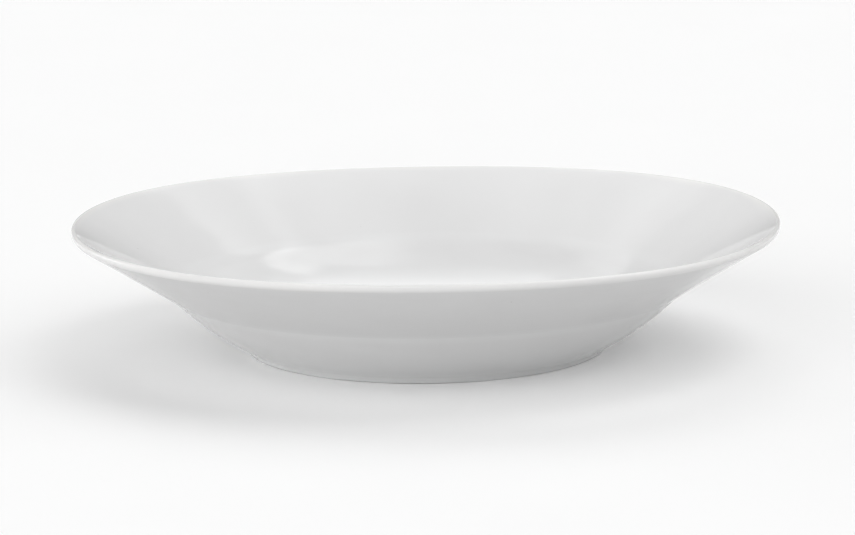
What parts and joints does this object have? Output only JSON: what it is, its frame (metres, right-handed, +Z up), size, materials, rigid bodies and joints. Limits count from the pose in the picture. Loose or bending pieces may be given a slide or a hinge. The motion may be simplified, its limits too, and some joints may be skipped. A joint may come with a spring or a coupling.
{
  "type": "deep plate",
  "caption": "Round deep plate in white glazed porcelain, with a wide flared rim, a round-walled well and a low foot ring, for soup, stew or pasta.",
  "frame": {"origin": "centre of the foot ring, on the table", "axes": "+Z up along the plate's axis of revolution, X and Y level; the picture looks along +Y from a little above the rim"},
  "size_m": [0.23, 0.23, 0.042],
  "materials": {
    "biscuit": "bare fired porcelain, matt and very slightly rough",
    "glaze": "white gloss glaze"
  },
  "bodies": {
    "root": {"porcelain_body": "biscuit", "glaze_coat": "glaze", "base_glaze": "glaze"}
  },
  "joints": []
}
